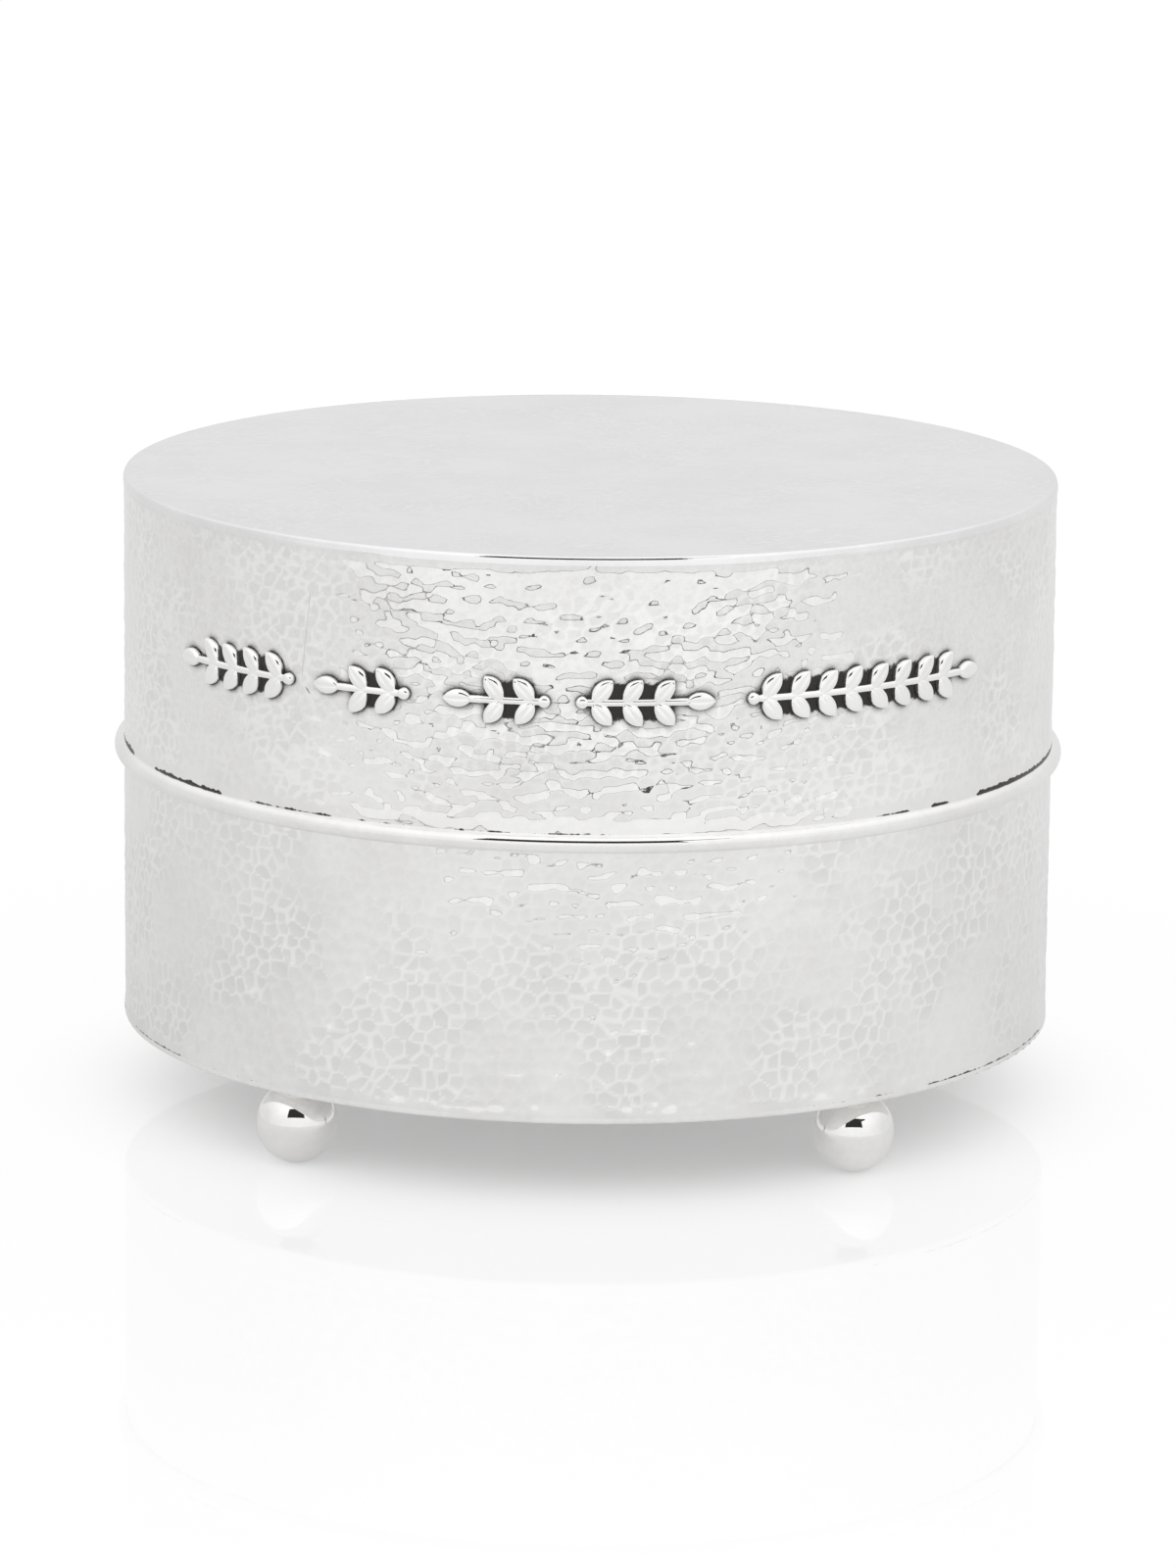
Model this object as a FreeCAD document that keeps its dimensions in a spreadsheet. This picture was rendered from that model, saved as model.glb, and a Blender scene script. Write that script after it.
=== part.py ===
"""Round hammered-silver etrog box: base on four ball feet, lift-off lid, bead round the seam.

Frame: millimetres, +Z up, origin on the resting surface under the box's axis, front towards -Y.
"""
import FreeCAD, Part
import math
import os
import Sketcher

OUT_DIR = "parts"

# Driving sizes, in millimetres unless a comment says degrees or a count.
SIZES = {
    # Walls of both halves
    "wall_radius": 70.0,
    "wall_thick": 0.9,
    "base_height": 42.6,
    "lid_height": 40.0,
    # Flat plates soldered across the walls' ends, filed flush and round at the edge
    "floor_thick": 0.9,
    "top_thick": 1.2,
    "plate_edge": 0.4,
    # Half-round wire under the seam
    "bead_radius": 1.4,
    # Inner rim that keeps the lid in place
    "rim_thick": 1.3,
    "rim_depth": 8.0,
    "rim_rise": 6.0,
    "rim_chamfer": 0.4,
    "lid_clearance": 0.3,
    # Ball feet, with the small flat where each is soldered on; the angle is in degrees
    "foot_dia": 12.0,
    "seat_radius": 1.6,
    "foot_inset": 0.0,
    "foot_angle": 39.5,
    # Applied leaf sprigs on the lid's front
    "sprig_relief": 1.0,
    "sprig_rise": 19.2,
    "sprig_pitch": 4.4,
    "sprig_tail": 1.4,
    "stem_width": 1.1,
    "leaf_length": 4.4,
    "leaf_width": 2.6,
    "leaf_angle": 50.0,
    "knob_radius": 0.9,
}

# Sprigs from left to right: middle's angle from the front in degrees, leaf pairs, way it points.
SPRIGS = (
    (-45.8, 4, -1),
    (-26.4, 2, -1),
    (-9.6, 2, -1),
    (8.6, 3, 1),
    (37.8, 8, 1),
)

# Feet: name, side and end signs
FEET = (
    ("foot_front_left", -1, -1),
    ("foot_front_right", 1, -1),
    ("foot_back_left", -1, 1),
    ("foot_back_right", 1, 1),
)

# Expressions over the sheet, each naming one place on the box
HALF_BALL = "(Sizes.foot_dia / 2)"
UNDERSIDE = f"({HALF_BALL} + sqrt({HALF_BALL}^2 - Sizes.seat_radius^2))"
SEAM = f"({UNDERSIDE} + Sizes.base_height)"
TOP = f"({SEAM} + Sizes.lid_height)"
INNER_RADIUS = "(Sizes.wall_radius - Sizes.wall_thick)"
FOOT_RING = f"(Sizes.wall_radius - {HALF_BALL} - Sizes.foot_inset)"

# How closely an edge must match a radius and a height to be the one meant, in millimetres
EDGE_TOLERANCE = 1e-4


def make_sheet(doc):
    """Spreadsheet that holds every driving size under its own alias."""
    sheet = doc.addObject("Spreadsheet::Sheet", "Sizes")
    for row, (alias, value) in enumerate(SIZES.items(), start=1):
        sheet.set(f"A{row}", alias)
        sheet.set(f"B{row}", str(value))
        sheet.setAlias(f"B{row}", alias)
    doc.recompute()
    return sheet


def origin_plane(body, role):
    return next(f for f in body.Origin.OriginFeatures if f.Role == role)


def new_sketch(body, name, role):
    sketch = body.newObject("Sketcher::SketchObject", name)
    sketch.AttachmentSupport = [(origin_plane(body, role), "")]
    sketch.MapMode = "FlatFace"
    return sketch


def bind(sketch, constraint, expression):
    """Add a dimension to the sketch and tie it to the sheet."""
    index = sketch.addConstraint(constraint)
    sketch.setExpression(f"Constraints[{index}]", expression)


def circle_sketch(body, name, height, radii):
    """Concentric circles round the axis on a level plane; radii pairs a first guess and a binding."""
    sketch = new_sketch(body, name, "XY_Plane")
    sketch.setExpression(".AttachmentOffset.Base.z", height)
    for guess, radius in radii:
        circle = Part.Circle(FreeCAD.Vector(0, 0, 0), FreeCAD.Vector(0, 0, 1), guess)
        index = sketch.addGeometry(circle, False)
        sketch.addConstraint(Sketcher.Constraint("Coincident", index, 3, -1, 1))
        bind(sketch, Sketcher.Constraint("Radius", index, guess), radius)
    return sketch


def profile_sketch(body, name, corners):
    """Closed outline of straight edges in the X-Z plane.

    Each corner is (x, z, x binding, z binding), the numbers being first guesses.
    """
    sketch = new_sketch(body, name, "XZ_Plane")
    count = len(corners)
    for i, (x, z, _, _) in enumerate(corners):
        nx, nz = corners[(i + 1) % count][:2]
        sketch.addGeometry(Part.LineSegment(FreeCAD.Vector(x, z, 0), FreeCAD.Vector(nx, nz, 0)), False)
    for i in range(count):
        sketch.addConstraint(Sketcher.Constraint("Coincident", i, 2, (i + 1) % count, 1))
    for i, (x, z, x_binding, z_binding) in enumerate(corners):
        bind(sketch, Sketcher.Constraint("DistanceX", -1, 1, i, 1, x), x_binding)
        bind(sketch, Sketcher.Constraint("DistanceY", -1, 1, i, 1, z), z_binding)
    return sketch


def pad(body, name, sketch, length):
    feature = body.newObject("PartDesign::Pad", name)
    feature.Profile = sketch
    feature.setExpression("Length", length)
    body.Document.recompute()
    return feature


def revolve(body, name, sketch):
    feature = body.newObject("PartDesign::Revolution", name)
    feature.Profile = sketch
    feature.ReferenceAxis = (sketch, ["V_Axis"])
    feature.Angle = 360.0
    body.Document.recompute()
    return feature


def fillet_ring(body, name, radius, height, size):
    """Round the one circular edge of that radius at that height."""
    base, names = body.Tip, []
    for index, edge in enumerate(base.Shape.Edges, start=1):
        curve = edge.Curve
        if not isinstance(curve, Part.Circle):
            continue
        if max(abs(curve.Radius - radius), abs(curve.Center.z - height)) < EDGE_TOLERANCE:
            names.append(f"Edge{index}")
    if len(names) != 1:
        raise RuntimeError(f"{name}: expected one edge, found {len(names)}")
    feature = body.newObject("PartDesign::Fillet", name)
    feature.Base = (base, names)
    feature.setExpression("Radius", size)
    body.Document.recompute()
    return feature


def new_body(doc, label):
    body = doc.addObject("PartDesign::Body", label)
    body.Label = label
    return body


def places(sheet):
    """The heights and radii that the expressions give, as numbers for first guesses and edge finding."""
    half_ball = sheet.foot_dia / 2
    underside = half_ball + math.sqrt(half_ball**2 - sheet.seat_radius**2)
    seam = underside + sheet.base_height
    return {
        "underside": underside,
        "seam": seam,
        "top": seam + sheet.lid_height,
        "inner": sheet.wall_radius - sheet.wall_thick,
    }


def make_wall(doc, sheet, label, bottom, height):
    """Hammered sheet rolled into a ring and soldered edge to edge."""
    body = new_body(doc, label)
    rings = [
        (sheet.wall_radius, "Sizes.wall_radius"),
        (sheet.wall_radius - sheet.wall_thick, INNER_RADIUS),
    ]
    sketch = circle_sketch(body, f"{label}_rings", bottom, rings)
    pad(body, f"{label}_pad", sketch, height)
    return body


def make_plate(doc, sheet, label, bottom, thick, edge_height):
    """Flat disc that closes one end of a wall, its outer edge filed round at that height."""
    body = new_body(doc, label)
    disc = circle_sketch(body, f"{label}_disc", bottom, [(sheet.wall_radius, "Sizes.wall_radius")])
    pad(body, f"{label}_pad", disc, thick)
    fillet_ring(body, f"{label}_round", sheet.wall_radius, edge_height, "Sizes.plate_edge")
    return body


def make_locating_rim(doc, sheet, at):
    """Strip soldered inside the base, stepped in above the seam so that the lid slides over it."""
    body = new_body(doc, "locating_rim")
    bore = at["inner"] - sheet.rim_thick
    free = at["inner"] - sheet.lid_clearance
    low, seam, high = at["seam"] - sheet.rim_depth, at["seam"], at["seam"] + sheet.rim_rise
    bore_x = f"{INNER_RADIUS} - Sizes.rim_thick"
    free_x = f"{INNER_RADIUS} - Sizes.lid_clearance"
    low_z, high_z = f"{SEAM} - Sizes.rim_depth", f"{SEAM} + Sizes.rim_rise"
    cut = sheet.rim_chamfer
    corners = [
        (bore, low, bore_x, low_z),
        (at["inner"], low, INNER_RADIUS, low_z),
        (at["inner"], seam, INNER_RADIUS, SEAM),
        (free, seam, free_x, SEAM),
        (free, high - cut, free_x, f"{high_z} - Sizes.rim_chamfer"),
        (free - cut, high, f"{free_x} - Sizes.rim_chamfer", high_z),
        (bore, high, bore_x, high_z),
    ]
    revolve(body, "rim_ring", profile_sketch(body, "rim_section", corners))
    return body


def make_seam_bead(doc, sheet, at):
    """Half-round wire soldered round the base's upper edge, its top level with the seam."""
    body = new_body(doc, "seam_bead")
    sketch = new_sketch(body, "bead_section", "XZ_Plane")
    size, middle = sheet.bead_radius, at["seam"] - sheet.bead_radius
    centre = FreeCAD.Vector(sheet.wall_radius, middle, 0)
    circle = Part.Circle(centre, FreeCAD.Vector(0, 0, 1), size)
    arc = sketch.addGeometry(Part.ArcOfCircle(circle, -math.pi / 2, math.pi / 2), False)
    low, high = centre - FreeCAD.Vector(0, size, 0), centre + FreeCAD.Vector(0, size, 0)
    back = sketch.addGeometry(Part.LineSegment(high, low), False)
    sketch.addConstraint(Sketcher.Constraint("Coincident", arc, 2, back, 1))
    sketch.addConstraint(Sketcher.Constraint("Coincident", back, 2, arc, 1))
    sketch.addConstraint(Sketcher.Constraint("Vertical", back))
    sketch.addConstraint(Sketcher.Constraint("PointOnObject", arc, 3, back))
    bind(sketch, Sketcher.Constraint("Radius", arc, size), "Sizes.bead_radius")
    bind(sketch, Sketcher.Constraint("DistanceX", -1, 1, arc, 3, sheet.wall_radius), "Sizes.wall_radius")
    bind(sketch, Sketcher.Constraint("DistanceY", -1, 1, arc, 3, middle), f"{SEAM} - Sizes.bead_radius")
    revolve(body, "bead_ring", sketch)
    return body


def make_foot(doc, label, side, end):
    """Ball foot with a small flat on top, soldered under the floor and flush with the wall."""
    ball = doc.addObject("Part::Sphere", label)
    ball.Label = label
    ball.setExpression("Radius", HALF_BALL)
    ball.setExpression("Angle2", f"acos(Sizes.seat_radius / {HALF_BALL})")
    ball.setExpression(".Placement.Base.x", f"{side} * {FOOT_RING} * sin(Sizes.foot_angle)")
    ball.setExpression(".Placement.Base.y", f"{end} * {FOOT_RING} * cos(Sizes.foot_angle)")
    ball.setExpression(".Placement.Base.z", HALF_BALL)
    return ball


def turned(shape, degrees):
    """The shape turned about the box's axis; a plus angle goes to the right seen from the front."""
    copy = shape.copy()
    copy.rotate(FreeCAD.Vector(0, 0, 0), FreeCAD.Vector(0, 0, 1), degrees)
    return copy


def front_prism(face, near, far):
    """Flat outline that stands at the axis, pushed out to the front between two distances."""
    face.translate(FreeCAD.Vector(0, -near, 0))
    return face.extrude(FreeCAD.Vector(0, near - far, 0))


def leaf_face(length, width, tilt, root_z):
    """Pointed leaf of two arcs, its root on the stem at x = 0, leaning by tilt degrees from level."""
    lean = math.radians(tilt)
    along = FreeCAD.Vector(math.cos(lean), 0, math.sin(lean))
    across = FreeCAD.Vector(-math.sin(lean), 0, math.cos(lean))
    root = FreeCAD.Vector(0, 0, root_z)
    tip, middle = root + along * length, root + along * (length / 2)
    upper = Part.Arc(root, middle + across * (width / 2), tip)
    lower = Part.Arc(tip, middle - across * (width / 2), root)
    return Part.Face(Part.Wire([upper.toShape(), lower.toShape()]))


def stem_sector(sheet, height, reach, start, stop):
    """Wedge as high as the stem is wide, from one angle to another."""
    corner = FreeCAD.Vector(0, 0, height - sheet.stem_width / 2)
    up = FreeCAD.Vector(0, 0, 1)
    sector = Part.makeCylinder(reach, sheet.stem_width, corner, up, stop - start)
    return turned(sector, start - 90)


def make_sprig(doc, sheet, at, number, middle, pairs, way):
    """Pierced sheet sprig bent to the wall: a stem with opposite leaves, a tip leaf and a tail knob."""
    radius, face_radius = sheet.wall_radius, sheet.wall_radius + sheet.sprig_relief
    near, far = radius - sheet.sprig_relief, face_radius + sheet.sprig_relief
    height = at["seam"] + sheet.sprig_rise
    step = math.degrees(sheet.sprig_pitch / radius)
    tail = math.degrees(sheet.sprig_tail / radius)
    tip_length = math.degrees(sheet.leaf_length / radius)
    start = -way * (tail + pairs * step + tip_length) / 2
    end = start + way * (tail + pairs * step)
    tilts = (sheet.leaf_angle, -sheet.leaf_angle)
    stem_end = end + way * math.degrees(sheet.leaf_width / radius)
    low, high = min(start, stem_end), max(start, stem_end)
    pieces = [stem_sector(sheet, height, far, low + middle, high + middle)]

    def add(face, angle):
        pieces.append(turned(front_prism(face, near, far), angle + middle))

    for pair in range(pairs):
        angle = start + way * (tail + pair * step)
        for tilt in tilts:
            lean = tilt if way > 0 else 180 - tilt
            add(leaf_face(sheet.leaf_length, sheet.leaf_width, lean, height), angle)
    tip_lean = 0 if way > 0 else 180
    add(leaf_face(sheet.leaf_length, sheet.leaf_width, tip_lean, height), end)
    knob = Part.Circle(FreeCAD.Vector(0, 0, height), FreeCAD.Vector(0, -1, 0), sheet.knob_radius)
    add(Part.Face(Part.Wire([knob.toShape()])), start)

    outline = pieces[0].multiFuse(pieces[1:])
    reach = sheet.leaf_length + sheet.leaf_width
    foot = FreeCAD.Vector(0, 0, height - reach)
    skin = Part.makeCylinder(face_radius, 2 * reach, foot)
    skin = skin.cut(Part.makeCylinder(radius, 2 * reach, foot))
    sprig = doc.addObject("Part::Feature", f"leaf_sprig_{number}")
    sprig.Label = f"leaf_sprig_{number}"
    sprig.Shape = outline.common(skin).removeSplitter()
    sprig.Placement = FreeCAD.Placement()
    return sprig


def build():
    doc = FreeCAD.newDocument("etrog_box")
    sheet = make_sheet(doc)
    at = places(sheet)
    wall_foot = f"{UNDERSIDE} + Sizes.floor_thick"
    plate_seat = f"{TOP} - Sizes.top_thick"
    parts = [
        make_wall(doc, sheet, "base_wall", wall_foot, "Sizes.base_height - Sizes.floor_thick"),
        make_plate(doc, sheet, "base_floor", UNDERSIDE, "Sizes.floor_thick", at["underside"]),
        make_seam_bead(doc, sheet, at),
        make_locating_rim(doc, sheet, at),
        make_wall(doc, sheet, "lid_wall", SEAM, "Sizes.lid_height - Sizes.top_thick"),
        make_plate(doc, sheet, "lid_top", plate_seat, "Sizes.top_thick", at["top"]),
    ]
    parts += [make_foot(doc, label, side, end) for label, side, end in FEET]
    for number, (middle, pairs, way) in enumerate(SPRIGS, start=1):
        parts.append(make_sprig(doc, sheet, at, number, middle, pairs, way))
    doc.recompute()
    return doc, parts


def check(doc, parts):
    """Stop if anything failed to build."""
    for item in doc.Objects:
        if "Invalid" in item.State or "Error" in item.State:
            raise RuntimeError(f"{item.Label} failed: {item.State}")
    for item in parts:
        if item.Shape.isNull() or not item.Shape.isValid():
            raise RuntimeError(f"{item.Label} has no valid shape")
        if len(item.Shape.Solids) != 1:
            raise RuntimeError(f"{item.Label} has {len(item.Shape.Solids)} solids")


def write(parts):
    os.makedirs(OUT_DIR, exist_ok=True)
    for item in parts:
        item.Shape.exportStep(os.path.join(OUT_DIR, f"{item.Label}.step"))
        print(f"{item.Label}: {item.Shape.Volume:.1f} mm3")


def main():
    doc, parts = build()
    check(doc, parts)
    write(parts)


main()
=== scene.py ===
import math

import bmesh
import bpy
import numpy as np
from mathutils import Euler, Matrix, Vector


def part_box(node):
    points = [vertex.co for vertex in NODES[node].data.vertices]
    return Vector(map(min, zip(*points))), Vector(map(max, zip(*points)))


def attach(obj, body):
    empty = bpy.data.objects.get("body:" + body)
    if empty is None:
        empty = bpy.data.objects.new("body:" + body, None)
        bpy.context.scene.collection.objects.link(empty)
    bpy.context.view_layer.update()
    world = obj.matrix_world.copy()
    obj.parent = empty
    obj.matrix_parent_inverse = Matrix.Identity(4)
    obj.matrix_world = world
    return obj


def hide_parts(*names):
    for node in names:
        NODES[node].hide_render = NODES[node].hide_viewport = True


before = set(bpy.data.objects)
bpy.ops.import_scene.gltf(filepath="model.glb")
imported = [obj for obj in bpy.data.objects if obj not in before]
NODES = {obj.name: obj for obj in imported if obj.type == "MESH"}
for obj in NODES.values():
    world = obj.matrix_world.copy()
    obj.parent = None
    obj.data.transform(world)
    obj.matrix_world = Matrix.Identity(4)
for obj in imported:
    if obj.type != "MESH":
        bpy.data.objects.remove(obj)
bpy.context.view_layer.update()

MM = 0.001
SCENE = bpy.context.scene

# Main measures, read from the solids, in metres
WALL_LOW, WALL_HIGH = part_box("base_wall")
LID_LOW, LID_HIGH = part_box("lid_wall")
TOP_LOW, TOP_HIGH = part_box("lid_top")
RADIUS = WALL_HIGH.x
SEAM = LID_LOW.z
SHEET = 0.9 * MM
INNER = RADIUS - SHEET

# Fineness of the hammered meshes
WALL_COLUMNS = 960
WALL_ROW = 0.43 * MM
TOP_COLUMNS = 720
TOP_RINGS = 112


def add_object(name, data):
    thing = bpy.data.objects.new(name, data)
    SCENE.collection.objects.link(thing)
    return thing


# ---------------------------------------------------------------- hammered surfaces

def value_noise(u, v, cell_u, cell_v, wrap_u, seed):
    """Smooth random height between -1 and 1, with features about one cell wide."""
    rng = np.random.default_rng(seed)
    rows = int(np.ceil((v.max() - v.min()) / cell_v)) + 4
    table = rng.uniform(-1, 1, (wrap_u, rows))
    gu, gv = u / cell_u, (v - v.min()) / cell_v + 1
    iu, iv = np.floor(gu).astype(int), np.floor(gv).astype(int)
    fu, fv = gu - iu, gv - iv
    fu, fv = fu * fu * (3 - 2 * fu), fv * fv * (3 - 2 * fv)
    a = table[iu % wrap_u, iv % rows]
    b = table[(iu + 1) % wrap_u, iv % rows]
    c = table[iu % wrap_u, (iv + 1) % rows]
    d = table[(iu + 1) % wrap_u, (iv + 1) % rows]
    return (a * (1 - fu) + b * fu) * (1 - fv) + (c * (1 - fu) + d * fu) * fv


def hammer_marks(u, v, marks, wrap_u):
    """Surface planished with overlapping hammer marks.

    Each mark is a shallow bowl with its own depth. Returns the height of the surface over the
    deepest mark, with softened ridges, how near each point is to a ridge, and a random tone
    for each mark.
    """
    rng = np.random.default_rng(marks["seed"])
    cell_u, cell_v = marks["cell"]
    rows = int(np.ceil((v.max() - v.min()) / cell_v)) + 6
    jitter = rng.uniform(marks["order"], 1.0 - marks["order"], (wrap_u, rows, 2))
    depth = rng.uniform(0.0, marks["uneven"], (wrap_u, rows))
    tone = rng.uniform(0.0, 1.0, (wrap_u, rows))
    gu, gv = u / cell_u, (v - v.min()) / cell_v + 2
    iu, iv = np.floor(gu).astype(int), np.floor(gv).astype(int)
    total, shade = np.zeros_like(u), np.zeros_like(u)
    first, second = np.full_like(u, np.inf), np.full_like(u, np.inf)
    for du in (-2, -1, 0, 1, 2):
        for dv in (-2, -1, 0, 1, 2):
            cu, cv = (iu + du) % wrap_u, (iv + dv) % rows
            shift = 0.5 * (cv % 2)
            across = (gu - (iu + du + shift + jitter[cu, cv, 0])) * cell_u
            up = (gv - (iv + dv + jitter[cu, cv, 1])) * cell_v
            bowl = (across**2 / marks["stretch"] + up**2) / (2 * marks["bowl"])
            height = bowl + depth[cu, cv]
            weight = np.exp(-height / marks["soften"])
            total += weight
            shade += weight * tone[cu, cv]
            second = np.minimum(second, np.maximum(first, height))
            first = np.minimum(first, height)
    ridge = np.exp(-(((second - first) / marks["crest"]) ** 2))
    return -marks["soften"] * np.log(total), ridge, shade / total


def mesh_from_grid(name, points, closed_rows, attributes):
    """Smooth mesh from rows of points round the axis.

    The last row joins the first when closed_rows is set. A row whose points all lie on the
    axis becomes one point.
    """
    rows, columns = points.shape[:2]
    index = np.arange(rows * columns).reshape(rows, columns)
    following = np.roll(index, -1, axis=1)
    on_axis = np.hypot(points[:, 0, 0], points[:, 0, 1]) < 1e-9
    quads, triangles = [], []
    for row in range(rows if closed_rows else rows - 1):
        above = (row + 1) % rows
        a, b, c, d = index[row], following[row], following[above], index[above]
        if on_axis[row]:
            triangles.append(np.stack([np.full_like(a, a[0]), c, d], axis=1))
        elif on_axis[above]:
            triangles.append(np.stack([a, b, np.full_like(d, d[0])], axis=1))
        else:
            quads.append(np.stack([a, b, c, d], axis=1))
    quads = np.concatenate(quads)
    triangles = np.concatenate(triangles) if triangles else np.zeros((0, 3), int)
    used = np.unique(np.concatenate([quads.ravel(), triangles.ravel()]))
    renumber = np.full(rows * columns, -1)
    renumber[used] = np.arange(len(used))
    corners = np.concatenate([renumber[quads].ravel(), renumber[triangles].ravel()])
    sizes = np.concatenate([np.full(len(quads), 4), np.full(len(triangles), 3)])
    mesh = bpy.data.meshes.new(name)
    mesh.vertices.add(len(used))
    mesh.vertices.foreach_set("co", points.reshape(-1, 3)[used].ravel())
    mesh.loops.add(len(corners))
    mesh.loops.foreach_set("vertex_index", corners)
    mesh.polygons.add(len(sizes))
    mesh.polygons.foreach_set("loop_start", np.concatenate([[0], np.cumsum(sizes)[:-1]]))
    mesh.polygons.foreach_set("loop_total", sizes)
    mesh.polygons.foreach_set("use_smooth", np.ones(len(sizes), bool))
    for key, values in attributes.items():
        layer = mesh.attributes.new(key, "FLOAT", "POINT")
        layer.data.foreach_set("value", values.reshape(-1)[used])
    mesh.update(calc_edges=True)
    mesh.validate()
    mesh.set_sharp_from_angle(angle=math.radians(35))
    return add_object(name, mesh)


def fade(distance, width):
    """0 at an edge, rising smoothly to 1 at that width from it."""
    t = np.clip(distance / width, 0, 1)
    return t * t * (3 - 2 * t)


# How each surface was hammered. cell is the marks' spacing round and up, order how regular they
# are (0.5 is a strict grid), uneven their greatest difference in depth, stretch how much wider
# than high they are, bowl the radius of their hollow, soften and crest how soft and how wide the
# ridges are. On the walls, warp bends their rows, patchy varies their depth from place to place,
# deepen makes them deeper towards the foot, swell is the depth of slow waves in the sheet, and
# lower_edge and upper_edge are the widths over which the marks fade out. seam_turn and seam_share
# turn and weaken the dark line at the wall's foot.
LID_MARKS = {
    "cell": (2.2 * MM, 1.7 * MM), "order": 0.08, "uneven": 0.05 * MM, "stretch": 1.6,
    "bowl": 11 * MM, "soften": 0.009 * MM, "crest": 0.05 * MM, "warp": 0.35 * MM, "patchy": 0.5,
    "deepen": 0.62, "swell": 0.03 * MM, "lower_edge": 2.6 * MM, "upper_edge": 0.8 * MM,
    "seam_turn": 0.0, "seam_share": 1.0, "seed": 11}
BASE_MARKS = {
    "cell": (2.5 * MM, 2.1 * MM), "order": 0.17, "uneven": 0.05 * MM, "stretch": 1.25,
    "bowl": 11 * MM, "soften": 0.012 * MM, "crest": 0.060 * MM, "warp": 0.38 * MM, "patchy": 0.75,
    "deepen": 0.25, "swell": 0.03 * MM, "lower_edge": 2.2 * MM, "upper_edge": 1.0 * MM,
    "seam_turn": 0.15, "seam_share": 0.72, "seed": 23}
TOP_MARKS = {
    "cell": (2.1 * MM, 2.1 * MM), "order": 0.0, "uneven": 0.012 * MM, "stretch": 1.0,
    "bowl": 34 * MM, "soften": 0.003 * MM, "crest": 0.01 * MM, "seed": 37}


def hammered_wall(name, low, high, marks):
    """Ring of hammered sheet, smooth inside; marks says how it was hammered."""
    width = 2 * math.pi * RADIUS
    rows = round((high - low) / WALL_ROW)
    angle = np.linspace(0, 2 * math.pi, WALL_COLUMNS, endpoint=False)
    level = np.linspace(low, high, rows + 1)
    angle, level = (grid.copy() for grid in np.broadcast_arrays(angle, level[:, None]))
    u = angle * RADIUS

    def wander(cells, cell_v, extra):
        """Noise with so many cells round the wall, each cell_v high."""
        return value_noise(u, level, width / cells, cell_v, cells, marks["seed"] + extra)

    warp_u, warp_v = (wander(140, 3.1 * MM, extra) * marks["warp"] for extra in (4, 5))
    patches = wander(34, 11 * MM, 1)
    waves = wander(24, 15 * MM, 2) + 0.45 * wander(70, 5 * MM, 3)

    wrap = round(width / marks["cell"][0])
    fitted = {**marks, "cell": (width / wrap, marks["cell"][1])}
    height, ridge, tone = hammer_marks(u + warp_u, level + warp_v, fitted, wrap)
    dips = np.quantile(height, 0.99) - height
    dips *= np.clip(1 + marks["patchy"] * patches, 0.15, 1.9)
    dips *= 1 + marks["deepen"] * (high - level) / (high - low)
    dips = (dips + (waves + 1.5) * marks["swell"]).clip(0)
    inset = fade(level - low, marks["lower_edge"]) * fade(high - level, marks["upper_edge"])
    dips *= inset

    sine, cosine = np.sin(angle), np.cos(angle)
    outer = np.stack([(RADIUS - dips) * sine, (dips - RADIUS) * cosine, level], axis=-1)
    inner = np.stack([INNER * sine[:2], -INNER * cosine[:2], level[[-1, 0]]], axis=-1)

    def whole(values):
        """Values outside, with zeros for the two rows of points inside."""
        return np.concatenate([values, np.zeros((2, WALL_COLUMNS))])

    return mesh_from_grid(name, np.concatenate([outer, inner]), True, {
        "mark_tone": whole(tone), "ridge": whole(ridge * inset), "outside": whole(np.ones_like(u)),
        "seam_dark": whole(seam_strength(angle + marks["seam_turn"]) * marks["seam_share"]),
        "notch": whole(notch_strength(angle, level))})


# Where dark polish has stayed in the seam, with a painted contact shadow: from and to angle round
# the box in degrees, and how strongly. Elsewhere it is as strong as SEAM_LEAST.
SEAM_DARK = (
    (-88, -73, 0.95), (-64, -48, 0.85), (-43, -30, 0.6), (-29, -16, 0.47), (-15, 5, 0.52),
    (38, 43, 0.6), (47, 50, 0.7), (56, 88, 0.9), (110, 150, 0.7), (170, 205, 0.45),
    (225, 255, 0.7),
)
SEAM_LEAST = 0.12


def seam_strength(angles):
    """How strongly dark polish and a painted contact shadow sit in the seam at each angle."""
    degrees = np.degrees(angles)
    result = np.full(degrees.shape, SEAM_LEAST)
    for start, stop, strength in SEAM_DARK:
        middle, half = (start + stop) / 2, (stop - start) / 2
        away = np.abs((degrees - middle + 180) % 360 - 180)
        result = np.maximum(result, strength * fade(half + 1.2 - away, 1.6))
    return result


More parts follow.
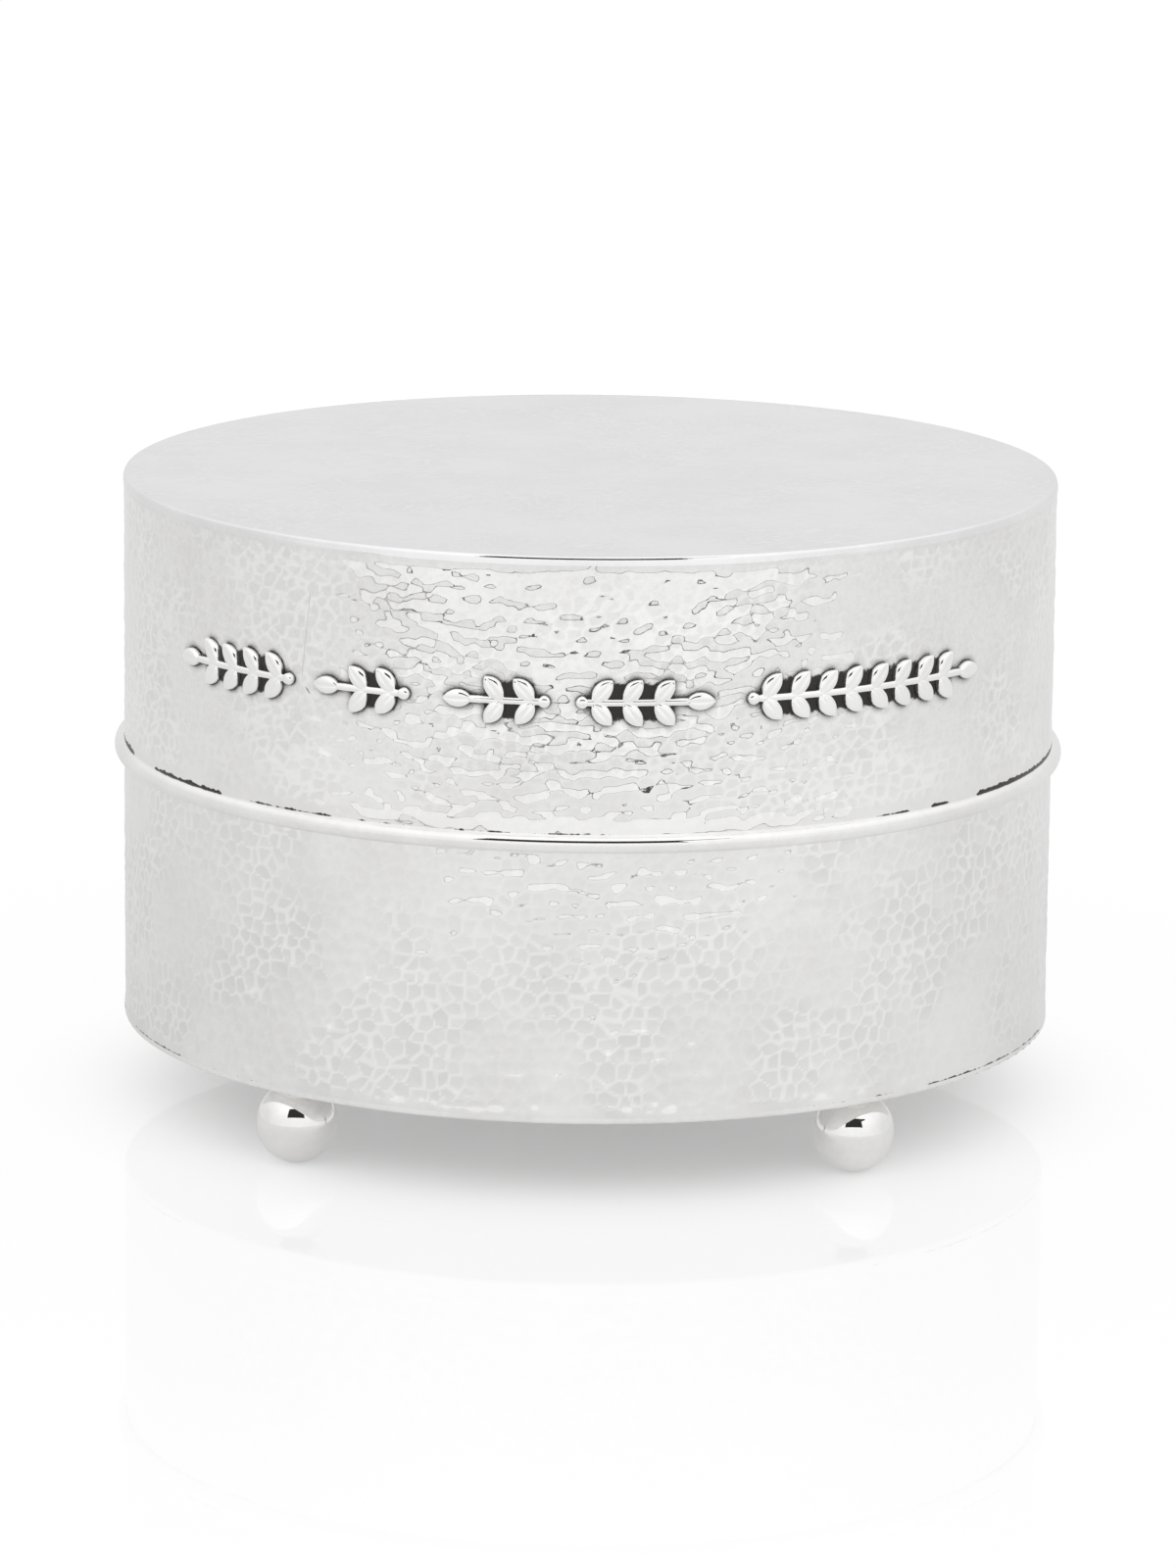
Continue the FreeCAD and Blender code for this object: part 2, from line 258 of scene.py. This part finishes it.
def hammered_top(name):
    """Top plate: lightly hammered face, its polished edge filed round."""
    edge, drop, edge_steps, cells = 0.35 * MM, 1.0 * MM, 8, 80
    face = np.concatenate([[0.0], np.linspace(1.2 * MM, RADIUS - edge, TOP_RINGS)])
    profile = [(r, TOP_HIGH.z) for r in face]
    for step in range(1, edge_steps + 1):
        turn = step / edge_steps * math.pi / 2
        profile.append((RADIUS - edge + edge * math.sin(turn),
                        TOP_HIGH.z - drop + drop * math.cos(turn)))
    profile += [(r, TOP_LOW.z) for r in (RADIUS, INNER, INNER / 2, 0.0)]
    profile = np.array(profile)
    angle = np.linspace(0, 2 * math.pi, TOP_COLUMNS, endpoint=False)
    radius = np.broadcast_to(profile[:, :1], (len(profile), TOP_COLUMNS))
    x, y = radius * np.sin(angle), -radius * np.cos(angle)
    z = np.broadcast_to(profile[:, 1:], x.shape).copy()
    flat = len(face)
    height, ridge, tone = hammer_marks(x[:flat], y[:flat], TOP_MARKS, cells)
    dip = (np.quantile(height, 0.985) - height).clip(0)
    waves = value_noise(x[:flat] + 0.1, y[:flat], 17 * MM, 17 * MM, cells, 41)
    dip += (waves + 1.2) * 0.015 * MM
    z[:flat] -= dip * fade(RADIUS - edge - radius[:flat], 5 * MM)
    tones, ridges = np.full(x.shape, 0.5), np.zeros(x.shape)
    tones[:flat] = tone
    ridges[:flat] = ridge
    return mesh_from_grid(name, np.stack([x, y, z], axis=-1), False,
                          {"mark_tone": tones, "ridge": ridges})


# ---------------------------------------------------------------- leaf sprigs

# Sprigs from left to right: middle's angle from the front in degrees, leaf pairs, way it points
SPRIG_SHAPES = (
    (-45.8, 4, -1),
    (-26.4, 2, -1),
    (-9.6, 2, -1),
    (8.6, 3, 1),
    (37.8, 8, 1),
)
SPRIG_SEED = 50
SPRIG_RISE = 19.2 * MM
SPRIG_PITCH = 4.4 * MM
SPRIG_TAIL = 1.4 * MM
SPRIG_RELIEF = 1.0 * MM
LEAF_LENGTH = 4.4 * MM
LEAF_WIDTH = 2.6 * MM
LEAF_ANGLE = 50.0
LEAF_BLUNT = 0.07 * MM
LEAF_STEPS = 16
STEM_WIDTH = 1.1 * MM
STEM_STEPS = 6
KNOB_RADIUS = 0.9 * MM
KNOB_BLUNT = 0.12 * MM
KNOB_STEPS = 12
# How far a form's sides reach into the wall, as a share of the relief
SUNK = 0.08
# Across a form: place from edge to edge, and height as a share of the relief
LEAF_SECTION = ((-1.0, 0.30), (-0.95, 0.60), (-0.82, 0.82), (-0.55, 0.95), (-0.2, 1.0),
                (0.0, 0.88), (0.2, 1.0), (0.55, 0.95), (0.82, 0.82), (0.95, 0.60), (1.0, 0.30))
ROUND_SECTION = ((-1.0, 0.25), (-0.93, 0.50), (-0.75, 0.72), (-0.4, 0.86), (0.0, 0.90),
                 (0.4, 0.86), (0.75, 0.72), (0.93, 0.50), (1.0, 0.25))
# How far from a stem its notches are, and how softly they end along it
NOTCH_REACH = 3.5 * MM
NOTCH_FADE = 0.4 * MM


def sprig_length(pairs):
    """From a sprig's tail to the tip of its last leaf."""
    return SPRIG_TAIL + pairs * SPRIG_PITCH + LEAF_LENGTH


def notch_strength(angle, level):
    """How near each place on the wall is to a sprig's stem, where polish can't reach."""
    result = np.zeros_like(level)
    height = (1 - np.abs(level - SEAM - SPRIG_RISE) / NOTCH_REACH).clip(0)
    for middle, pairs, way in SPRIG_SHAPES:
        turn = (angle - math.radians(middle) + math.pi) % (2 * math.pi) - math.pi
        along = turn * RADIUS * way + sprig_length(pairs) / 2
        first = SPRIG_TAIL
        last = SPRIG_TAIL + (pairs - 1) * SPRIG_PITCH + 0.6 * LEAF_LENGTH
        within = (fade(along - first + NOTCH_FADE, 2 * NOTCH_FADE)
                  * fade(last + NOTCH_FADE - along, 2 * NOTCH_FADE))
        result = np.maximum(result, height * within)
    return result


def leaf_half_width(share):
    """Half a leaf's width along it: two arcs from root to tip, slightly blunt."""
    sagitta, half = LEAF_WIDTH / 2, LEAF_LENGTH / 2
    bend = (half**2 + sagitta**2) / (2 * sagitta)
    arc = math.sqrt(bend**2 - (LEAF_LENGTH * (share - 0.5)) ** 2) - bend + sagitta
    return max(arc, LEAF_BLUNT)


def knob_half_width(share):
    """Half a knob's width along it: a circle, slightly blunt."""
    return max(KNOB_RADIUS * math.sqrt(max(1 - (2 * share - 1) ** 2, 0)), KNOB_BLUNT)


def stem_half_width(share):
    return STEM_WIDTH / 2


def loft(verts, faces, sections):
    """Closed skin over sections with as many points each, capped at both ends."""
    start, count = len(verts), len(sections[0])
    for section in sections:
        verts.extend(section)
    for i in range(len(sections) - 1):
        a, b = start + i * count, start + (i + 1) * count
        for k in range(count):
            n = (k + 1) % count
            faces.append((a + k, a + n, b + n, b + k))
    end = len(verts)
    faces.append(tuple(reversed(range(start, start + count))))
    faces.append(tuple(range(end - count, end)))


def leaf_sprig(name, middle, pairs, way, seed):
    """Sprig with opposite leaves on a stem, a tip leaf and a tail knob.

    No two of the opposite leaves are quite alike.
    """
    rng = np.random.default_rng(seed)
    verts, faces = [], []

    def raise_form(root_u, lean, length, half_width, section, steps, height=1.0):
        """One raised form on the wall: from its root, leaning by lean radians."""
        widest = max(half_width(i / steps) for i in range(steps + 1))
        rings = []
        for i in range(steps + 1):
            share = 0.5 - 0.5 * math.cos(math.pi * i / steps)
            half = half_width(share)
            swell = (0.55 + 0.45 * math.sqrt(half / widest)) * height
            ring = [(1.0, -SUNK)] + [(t, h * swell) for t, h in reversed(section)] + [(-1.0, -SUNK)]
            points = []
            for t, h in ring:
                u = root_u + math.cos(lean) * length * share - math.sin(lean) * half * t
                v = math.sin(lean) * length * share + math.cos(lean) * half * t
                angle, radius = math.radians(middle) + u / RADIUS, RADIUS + h * SPRIG_RELIEF
                points.append((radius * math.sin(angle), -radius * math.cos(angle),
                               SEAM + SPRIG_RISE + v))
            rings.append(points)
        loft(verts, faces, rings)

    start = -way * sprig_length(pairs) / 2
    end = start + way * (SPRIG_TAIL + pairs * SPRIG_PITCH)
    straight = 0.0 if way > 0 else math.pi
    raise_form(start, straight, SPRIG_TAIL + pairs * SPRIG_PITCH + LEAF_WIDTH, stem_half_width,
               ROUND_SECTION, STEM_STEPS * pairs, 0.86)
    for pair in range(pairs):
        place = start + way * (SPRIG_TAIL + pair * SPRIG_PITCH)
        for side in (1, -1):
            lean = math.radians(side * (LEAF_ANGLE + rng.uniform(-2.5, 2.5)))
            lean = lean if way > 0 else math.pi - lean
            raise_form(place, lean, LEAF_LENGTH * rng.uniform(0.95, 1.0), leaf_half_width,
                       LEAF_SECTION, LEAF_STEPS, rng.uniform(0.93, 1.0))
    raise_form(end, straight, LEAF_LENGTH, leaf_half_width, LEAF_SECTION, LEAF_STEPS)
    raise_form(start - KNOB_RADIUS, 0.0, 2 * KNOB_RADIUS, knob_half_width, ROUND_SECTION,
               KNOB_STEPS, 1.05)

    mesh = bpy.data.meshes.new(name)
    mesh.from_pydata(verts, [], faces)
    bm = bmesh.new()
    bm.from_mesh(mesh)
    bmesh.ops.recalc_face_normals(bm, faces=bm.faces)
    bm.to_mesh(mesh)
    bm.free()
    mesh.shade_smooth()
    mesh.set_sharp_from_angle(angle=math.radians(70))
    return add_object(name, mesh)


# ---------------------------------------------------------------- shader nodes

def empty_tree(owner):
    """Node tree of a new material or world, with nothing in it."""
    owner.use_nodes = True
    owner.node_tree.nodes.clear()
    return owner.node_tree


def math_node(tree, operation, a, b=None):
    node = tree.nodes.new("ShaderNodeMath")
    node.operation = operation
    for socket, value in zip(node.inputs, (a, b)):
        if isinstance(value, (int, float)):
            socket.default_value = value
        elif value is not None:
            tree.links.new(value, socket)
    return node.outputs[0]


def times(tree, a, b):
    return math_node(tree, "MULTIPLY", a, b)


def plus(tree, a, b):
    return math_node(tree, "ADD", a, b)


def minus(tree, a, b):
    return math_node(tree, "SUBTRACT", a, b)


def larger(tree, a, b):
    return math_node(tree, "MAXIMUM", a, b)


def map_range(tree, value, low, high, out_low=0.0, out_high=1.0):
    """Smooth step from out_low, where value is low, to out_high, where it is high."""
    node = tree.nodes.new("ShaderNodeMapRange")
    node.interpolation_type = "SMOOTHSTEP"
    tree.links.new(value, node.inputs["Value"])
    for key, number in (("From Min", low), ("From Max", high),
                        ("To Min", out_low), ("To Max", out_high)):
        node.inputs[key].default_value = number
    return node.outputs[0]


def object_place(tree):
    return tree.nodes.new("ShaderNodeTexCoord").outputs["Object"]


def axes_of(tree, vector):
    """A vector's X, Y and Z."""
    node = tree.nodes.new("ShaderNodeSeparateXYZ")
    tree.links.new(vector, node.inputs[0])
    return node.outputs


def noise(tree, scale, detail=2.0, roughness=0.5, stretch=(1, 1, 1), offset=(0, 0, 0)):
    place = object_place(tree)
    if stretch != (1, 1, 1) or offset != (0, 0, 0):
        mapping = tree.nodes.new("ShaderNodeMapping")
        mapping.inputs["Scale"].default_value = stretch
        mapping.inputs["Location"].default_value = offset
        tree.links.new(place, mapping.inputs["Vector"])
        place = mapping.outputs[0]
    node = tree.nodes.new("ShaderNodeTexNoise")
    node.inputs["Scale"].default_value = scale
    node.inputs["Detail"].default_value = detail
    node.inputs["Roughness"].default_value = roughness
    tree.links.new(place, node.inputs["Vector"])
    return node.outputs["Fac"]


def attribute(tree, name):
    node = tree.nodes.new("ShaderNodeAttribute")
    node.attribute_name = name
    return node.outputs["Fac"]


def mix_colour(tree, factor, a, b):
    node = tree.nodes.new("ShaderNodeMix")
    node.data_type = "RGBA"
    tree.links.new(factor, node.inputs["Factor"])
    for socket, value in ((node.inputs[6], a), (node.inputs[7], b)):
        if isinstance(value, tuple):
            socket.default_value = (*value, 1.0)
        else:
            tree.links.new(value, socket)
    return node.outputs[2]


def mix_shaders(tree, factor, a, b):
    node = tree.nodes.new("ShaderNodeMixShader")
    for source, socket in zip((factor, a, b), node.inputs):
        tree.links.new(source, socket)
    return node.outputs[0]


def bump(tree, height, strength, distance, normal=None):
    node = tree.nodes.new("ShaderNodeBump")
    node.inputs["Strength"].default_value = strength
    node.inputs["Distance"].default_value = distance
    tree.links.new(height, node.inputs["Height"])
    if normal is not None:
        tree.links.new(normal, node.inputs["Normal"])
    return node.outputs[0]


# ---------------------------------------------------------------- silver

BRIGHT = (0.955, 0.952, 0.943)
DULL = (0.885, 0.878, 0.864)
BRIGHT_NEUTRAL = (0.950, 0.951, 0.951)
DULL_NEUTRAL = (0.880, 0.881, 0.881)
WORN_DULL = (0.780, 0.781, 0.778)
PALE = (0.992, 0.990, 0.984)
DARK = (0.030, 0.027, 0.024)


def silver(name, gloss, blur, patina_and_shadow=None, crests=0.0, bowls=0.0, smudge=0.0,
           tones=(BRIGHT, DULL), scratch=0.25, ripple=0.0):
    """Silver with cloudy tarnish, fine scratches and, where asked, dark polish in the corners and
    painted contact shadow in a joint.

    gloss and blur are the roughness of its brightest and dullest parts, and tones their colours.
    crests says how much paler the ridges between hammer marks are, partly where polishing has
    rubbed them and partly as a painted highlight along them, and bowls how much duller the marks
    themselves are. smudge is the strength of wide uneven clouds, and scratch and ripple that of
    fine lines and small waves in the surface.
    """
    material = bpy.data.materials.new(name)
    tree = empty_tree(material)
    output = tree.nodes.new("ShaderNodeOutputMaterial")
    shader = tree.nodes.new("ShaderNodeBsdfPrincipled")
    tree.links.new(shader.outputs[0], output.inputs[0])
    cloud = noise(tree, 60, 3.0, 0.55)
    fine = noise(tree, 900, 3.0, 0.6)
    haze = map_range(tree, plus(tree, times(tree, cloud, 0.7), times(tree, fine, 0.3)), 0.38, 0.66)
    colour = mix_colour(tree, haze, *tones)
    rough = map_range(tree, haze, 0.0, 1.0, gloss, blur)
    if smudge:
        wide = noise(tree, 26, 3.0, 0.6, stretch=(1, 1, 0.6), offset=(1, 4, 2))
        clouds = map_range(tree, wide, 0.36, 0.64)
        colour = mix_colour(tree, times(tree, clouds, smudge), colour, WORN_DULL)
    if crests:
        worn = noise(tree, 55, 2.0, 0.5, offset=(5, 2, 0))
        worn = map_range(tree, worn, 0.42, 0.58, 0.25, 1.0)
        # Paler ridges: partly polishing wear, partly a painted highlight along them
        rubbed_and_highlit = times(tree, map_range(tree, attribute(tree, "ridge"), 0.25, 0.95), worn)
        uneven = plus(tree, times(tree, attribute(tree, "mark_tone"), 0.7), 0.3)
        bowl = times(tree, times(tree, uneven, bowls), worn)
        colour = mix_colour(tree, bowl, colour, WORN_DULL)
        colour = mix_colour(tree, times(tree, rubbed_and_highlit, crests), colour, PALE)
    if patina_and_shadow:
        dirt_and_shadow = patina_and_shadow(tree)
        colour = mix_colour(tree, dirt_and_shadow, colour, DARK)
        rough = plus(tree, rough, times(tree, dirt_and_shadow, 0.35))
        metal = minus(tree, 1.0, times(tree, dirt_and_shadow, 0.6))
        tree.links.new(metal, shader.inputs["Metallic"])
    else:
        shader.inputs["Metallic"].default_value = 1.0
    tree.links.new(colour, shader.inputs["Base Color"])
    tree.links.new(rough, shader.inputs["Roughness"])
    fine_lines = noise(tree, 1400, 2.0, 0.7, stretch=(1, 1, 0.08), offset=(3, 1, 0))
    normal = bump(tree, fine_lines, scratch, 0.01 * MM)
    if ripple:
        normal = bump(tree, noise(tree, 1100, 2.0, 0.5), ripple, 0.02 * MM, normal)
    tree.links.new(normal, shader.inputs["Normal"])
    return material


def object_height(tree, level):
    """Height over a level in millimetres."""
    return times(tree, minus(tree, axes_of(tree, object_place(tree))["Z"], level), 1 / MM)


def joint_line(tree, level, breaks):
    """Broken dark line along a wall's lower edge, old polish with a painted contact shadow; breaks
    is the noise's scale.
    """
    # Painted contact shadow in the joint, together with its dark polish
    broken = noise(tree, breaks, 3.0, 0.65, stretch=(1, 1, 0.3))
    reach = minus(tree, times(tree, attribute(tree, "seam_dark"), 1.15), times(tree, broken, 1.25))
    rise = minus(tree, object_height(tree, level), reach)
    return times(tree, map_range(tree, rise, -0.05, 0.12, 1.0, 0.0), attribute(tree, "outside"))


def scratch_mark(tree, start, stop, half_width):
    """Thin scratch on the lid's wall from start down to stop.

    Each is an angle round the box in degrees and a height over the seam in millimetres.
    """
    axes = axes_of(tree, object_place(tree))
    turn = math_node(tree, "ARCTAN2", axes["X"], times(tree, axes["Y"], -1.0))
    level = object_height(tree, SEAM)
    lean = math.radians(stop[0] - start[0]) / (stop[1] - start[1])
    offset = math.radians(start[0]) - lean * start[1]
    line = plus(tree, times(tree, level, lean), offset)
    away = math_node(tree, "ABSOLUTE", times(tree, minus(tree, turn, line), RADIUS / MM))
    high, low, soft_end = start[1], stop[1], 0.3
    within = times(tree, map_range(tree, level, low, low + soft_end),
                   map_range(tree, level, high - soft_end, high, 1.0, 0.0))
    return times(tree, within, map_range(tree, away, half_width / 2, half_width, 1.0, 0.0))


def lid_patina_and_shadow(tree):
    """Dark polish left in the notches of the sprigs, dark polish with a painted contact shadow in
    the seam, a scratch and a nick.
    """
    closed = tree.nodes.new("ShaderNodeAmbientOcclusion")
    closed.samples = 6
    closed.inputs["Distance"].default_value = 1.3 * MM
    ragged = times(tree, minus(tree, noise(tree, 1300, 3.0, 0.6), 0.5), 0.22)
    open_sky = plus(tree, closed.outputs["AO"], ragged)
    near = map_range(tree, open_sky, 0.70, 0.85, 1.0, 0.0)
    halo = map_range(tree, open_sky, 0.80, 1.05, 0.20, 0.0)
    over_seam = map_range(tree, object_height(tree, SEAM), 8.0, 9.0)
    trim = times(tree, larger(tree, near, halo), over_seam)
    notch = plus(tree, attribute(tree, "notch"), times(tree, ragged, 2.0))
    trim = larger(tree, trim, map_range(tree, notch, 0.16, 0.30))
    thin = times(tree, scratch_mark(tree, (-33.2, 32.3), (-34.5, 19.5), 0.11), 0.22)
    nick = times(tree, scratch_mark(tree, (-34.0, 18.4), (-33.2, 17.3), 0.16), 0.8)
    # The seam's dark line: polish with a painted contact shadow
    dirt_and_shadow = larger(tree, trim, joint_line(tree, SEAM, 480))
    dirt_and_shadow = larger(tree, dirt_and_shadow, larger(tree, thin, nick))
    return times(tree, dirt_and_shadow, attribute(tree, "outside"))


def base_patina_and_shadow(tree):
    """Dark polish with a painted contact shadow along the base's foot."""
    return joint_line(tree, WALL_LOW.z, 760)


LID_SILVER = silver("lid_silver", 0.015, 0.045, patina_and_shadow=lid_patina_and_shadow, crests=0.9, bowls=0.3,
                    smudge=0.18, scratch=0.12, ripple=0.08)
BASE_SILVER = silver("base_silver", 0.045, 0.09, patina_and_shadow=base_patina_and_shadow, crests=0.85, bowls=0.6,
                     smudge=0.22, scratch=0.2, ripple=0.15)
TOP_SILVER = silver("top_silver", 0.06, 0.13, crests=0.65, bowls=0.28,
                    tones=(BRIGHT_NEUTRAL, DULL_NEUTRAL), scratch=0.3, ripple=0.25)
PLAIN = silver("plain_silver", 0.16, 0.27, scratch=0.5, ripple=0.2)
POLISHED = silver("polished_silver", 0.03, 0.06, scratch=0.12)
SPRIG_SILVER = silver("sprig_silver", 0.05, 0.12, tones=(PALE, BRIGHT), ripple=0.3)


# ---------------------------------------------------------------- pieces

def paint(piece, material):
    piece.data.materials.clear()
    piece.data.materials.append(material)


def dress(piece, node, body, material):
    """Put a piece of the scene in a node's place."""
    paint(piece, material)
    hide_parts(node)
    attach(piece, body)


base_wall = hammered_wall("base_wall_hammered", WALL_LOW.z, WALL_HIGH.z, BASE_MARKS)
dress(base_wall, "base_wall", "base", BASE_SILVER)
lid_wall = hammered_wall("lid_wall_hammered", LID_LOW.z, LID_HIGH.z, LID_MARKS)
dress(lid_wall, "lid_wall", "lid", LID_SILVER)
lid_top = hammered_top("lid_top_hammered")
dress(lid_top, "lid_top", "lid", TOP_SILVER)

for name in ("base_floor", "locating_rim"):
    paint(NODES[name], PLAIN)
for name in NODES:
    if name == "seam_bead" or name.startswith("foot_"):
        paint(NODES[name], POLISHED)
for number, shape in enumerate(SPRIG_SHAPES, start=1):
    sprig = leaf_sprig(f"leaf_sprig_{number}_chased", *shape, SPRIG_SEED + number)
    dress(sprig, f"leaf_sprig_{number}", "lid", SPRIG_SILVER)


# ---------------------------------------------------------------- studio

WHITE = (1.0, 1.0, 1.0)
# The table ends in front of the picture: a pale panel starts beyond, with a dark gap before it
PANEL_START = -0.375
GAP_FRONT, GAP_BACK = -0.381, -0.367


def plane_mesh(name, corners):
    mesh = bpy.data.meshes.new(name)
    mesh.from_pydata(corners, [], [tuple(range(len(corners)))])
    card = add_object(name, mesh)
    return card


def floor_painted_shade(tree, place, distance):
    """Floor's grey in the silver, painted: palest in front of the box, with a painted shadow near
    it, and paler again on the panel.
    """
    axes = axes_of(tree, place)
    depth = math_node(tree, "DIVIDE", axes["Y"], distance)
    side = math_node(tree, "DIVIDE", axes["X"], distance)
    # Painted falloff of light: paler in front, darker towards the back and to the left
    tone = map_range(tree, depth, -1.0, 0.3, 0.880, 0.797)
    tone = plus(tree, tone, times(tree, side, 0.02))
    # Painted shadow of the box: darker close to it
    tone = times(tree, tone, map_range(tree, distance, 0.08, 0.36, 0.95, 1.0))
    panel = map_range(tree, axes["Y"], PANEL_START - 0.01, PANEL_START, 0.09, 0.0)
    tone = plus(tree, tone, panel)
    painted_grey = tree.nodes.new("ShaderNodeCombineColor")
    for socket in painted_grey.inputs:
        tree.links.new(tone, socket)
    return painted_grey.outputs[0]


def make_floor():
    """Pale glossy floor that keeps the box's shadow and a faint mirror image of it."""
    floor = plane_mesh("studio_floor", [(-6, -6, 0), (6, -6, 0), (6, 6, 0), (-6, 6, 0)])
    material = bpy.data.materials.new("studio_floor")
    paint(floor, material)
    tree = empty_tree(material)
    output = tree.nodes.new("ShaderNodeOutputMaterial")
    path = tree.nodes.new("ShaderNodeLightPath").outputs
    camera_ray = path["Is Camera Ray"]
    first_bounces = math_node(tree, "LESS_THAN", path["Diffuse Depth"], 0.5)
    mirrored = times(tree, path["Is Glossy Ray"], first_bounces)
    place = object_place(tree)
    away = tree.nodes.new("ShaderNodeVectorMath")
    away.operation = "LENGTH"
    tree.links.new(place, away.inputs[0])
    distance = away.outputs["Value"]
    painted_grey = floor_painted_shade(tree, place, distance)

    # In the silver the floor is partly lit of itself, so that no dark shadow shows in it; only the
    # painted shade of its grey
    diffuse = tree.nodes.new("ShaderNodeBsdfDiffuse")
    tree.links.new(mix_colour(tree, camera_ray, painted_grey, WHITE), diffuse.inputs["Color"])
    lit_through = tree.nodes.new("ShaderNodeEmission")
    lit_through.inputs["Strength"].default_value = 0.95
    tree.links.new(painted_grey, lit_through.inputs["Color"])
    paper = mix_shaders(tree, times(tree, mirrored, 0.6), diffuse.outputs[0],
                        lit_through.outputs[0])

    # To the eye it fades from a shadow under the box to white
    glow = tree.nodes.new("ShaderNodeEmission")
    glow.inputs["Strength"].default_value = 1.02
    lit = map_range(tree, distance, 0.049, 0.0895, 0.35, 0.97)
    shaded = mix_shaders(tree, times(tree, camera_ray, lit), paper, glow.outputs[0])

    # Its sheen is strongest near the box, and ends before it could mirror the table's edge
    mirror = tree.nodes.new("ShaderNodeBsdfGlossy")
    mirror.inputs["Roughness"].default_value = 0.0
    sheen = times(tree, map_range(tree, distance, 0.08, 0.28, 0.13, 0.04),
                  map_range(tree, distance, 0.30, 0.36, 1.0, 0.0))
    surface = mix_shaders(tree, times(tree, camera_ray, sheen), shaded, mirror.outputs[0])
    tree.links.new(surface, output.inputs[0])


def reflected_card(name, corners, material_name, value):
    """Dull dark card seen only in reflections, but not in reflections of reflections."""
    card = plane_mesh(name, corners)
    card.visible_camera = False
    card.visible_diffuse = False
    card.visible_shadow = False
    material = bpy.data.materials.new(material_name)
    paint(card, material)
    tree = empty_tree(material)
    output = tree.nodes.new("ShaderNodeOutputMaterial")
    shader = tree.nodes.new("ShaderNodeBsdfPrincipled")
    shader.inputs["Base Color"].default_value = (value, value, value, 1.0)
    shader.inputs["Roughness"].default_value = 0.9
    clear = tree.nodes.new("ShaderNodeBsdfTransparent")
    path = tree.nodes.new("ShaderNodeLightPath").outputs
    again = math_node(tree, "GREATER_THAN", path["Glossy Depth"], 1.5)
    surface = mix_shaders(tree, again, shader.outputs[0], clear.outputs[0])
    tree.links.new(surface, output.inputs[0])


def make_table_edge():
    """Dark gap at the front of the table, outside the picture."""
    left, right, level = -0.55, 0.75, 0.0005
    reflected_card("table_edge", [(left, GAP_FRONT, level), (right, GAP_FRONT, level),
                                  (right, GAP_BACK, level), (left, GAP_BACK, level)],
                   "table_gap", 0.02)


def make_dark_opening():
    """Opening of the light tent over the camera; corners are azimuths and elevations."""
    away = 1.7
    outline = ((-26, 22.5), (26, 22.5), (26, 39), (41, 41), (41, 44), (26, 46.5), (-26, 46.5))
    corners = []
    for azimuth, elevation in outline:
        a, e = math.radians(azimuth), math.radians(elevation)
        corners.append((away * math.tan(a), -away, away / math.cos(a) * math.tan(e)))
    reflected_card("dark_opening", corners, "dark_room", 0.015)


def make_world():
    """Light tent: white to the eye and in the floor's sheen, greyer round the silver."""
    world = bpy.data.worlds.new("light_tent")
    SCENE.world = world
    tree = empty_tree(world)
    output = tree.nodes.new("ShaderNodeOutputWorld")
    shade = tree.nodes.new("ShaderNodeBackground")
    white = tree.nodes.new("ShaderNodeBackground")
    for background in (shade, white):
        background.inputs["Color"].default_value = (*WHITE, 1.0)
    axes = axes_of(tree, tree.nodes.new("ShaderNodeTexCoord").outputs["Generated"])
    overhead = map_range(tree, axes["Z"], 0.1, 0.9, 0.0, 0.24)
    front = map_range(tree, axes["Y"], -1.0, 0.2, 0.17, 0.0)
    side = times(tree, axes["X"], 0.015)
    tone = plus(tree, plus(tree, overhead, front), plus(tree, side, 0.79))
    tree.links.new(tone, shade.inputs["Strength"])
    path = tree.nodes.new("ShaderNodeLightPath").outputs
    seen = larger(tree, path["Is Camera Ray"], path["Is Singular Ray"])
    surface = mix_shaders(tree, seen, shade.outputs[0], white.outputs[0])
    tree.links.new(surface, output.inputs[0])


def make_camera():
    """Camera at the photograph's viewing angle; the seam is a little above the frame's middle."""
    focal_pixels, long_side, off_centre = 7630.0, 1600.0, 53.1
    azimuth, elevation, roll = math.radians(1.5), math.radians(12.03), math.radians(0.59)
    distance = 1.130
    aim = Vector((0, 0, SEAM))
    back = Vector((math.sin(azimuth) * math.cos(elevation),
                   -math.cos(azimuth) * math.cos(elevation), math.sin(elevation)))
    data = bpy.data.cameras.new("camera")
    data.sensor_width = 36.0
    data.lens = data.sensor_width * focal_pixels / long_side
    data.clip_start, data.clip_end = 0.05, 50
    camera = add_object("camera", data)
    turn = (-back).to_track_quat("-Z", "Y").to_matrix()
    tilt = Euler((-math.atan(off_centre / focal_pixels), 0, 0)).to_matrix()
    twist = Matrix.Rotation(roll, 3, "Z")
    facing = (turn @ twist @ tilt).to_4x4()
    camera.matrix_world = Matrix.Translation(aim + back * distance) @ facing
    SCENE.camera = camera


make_floor()
make_table_edge()
make_dark_opening()
make_world()
make_camera()
SCENE.view_settings.view_transform = "Standard"
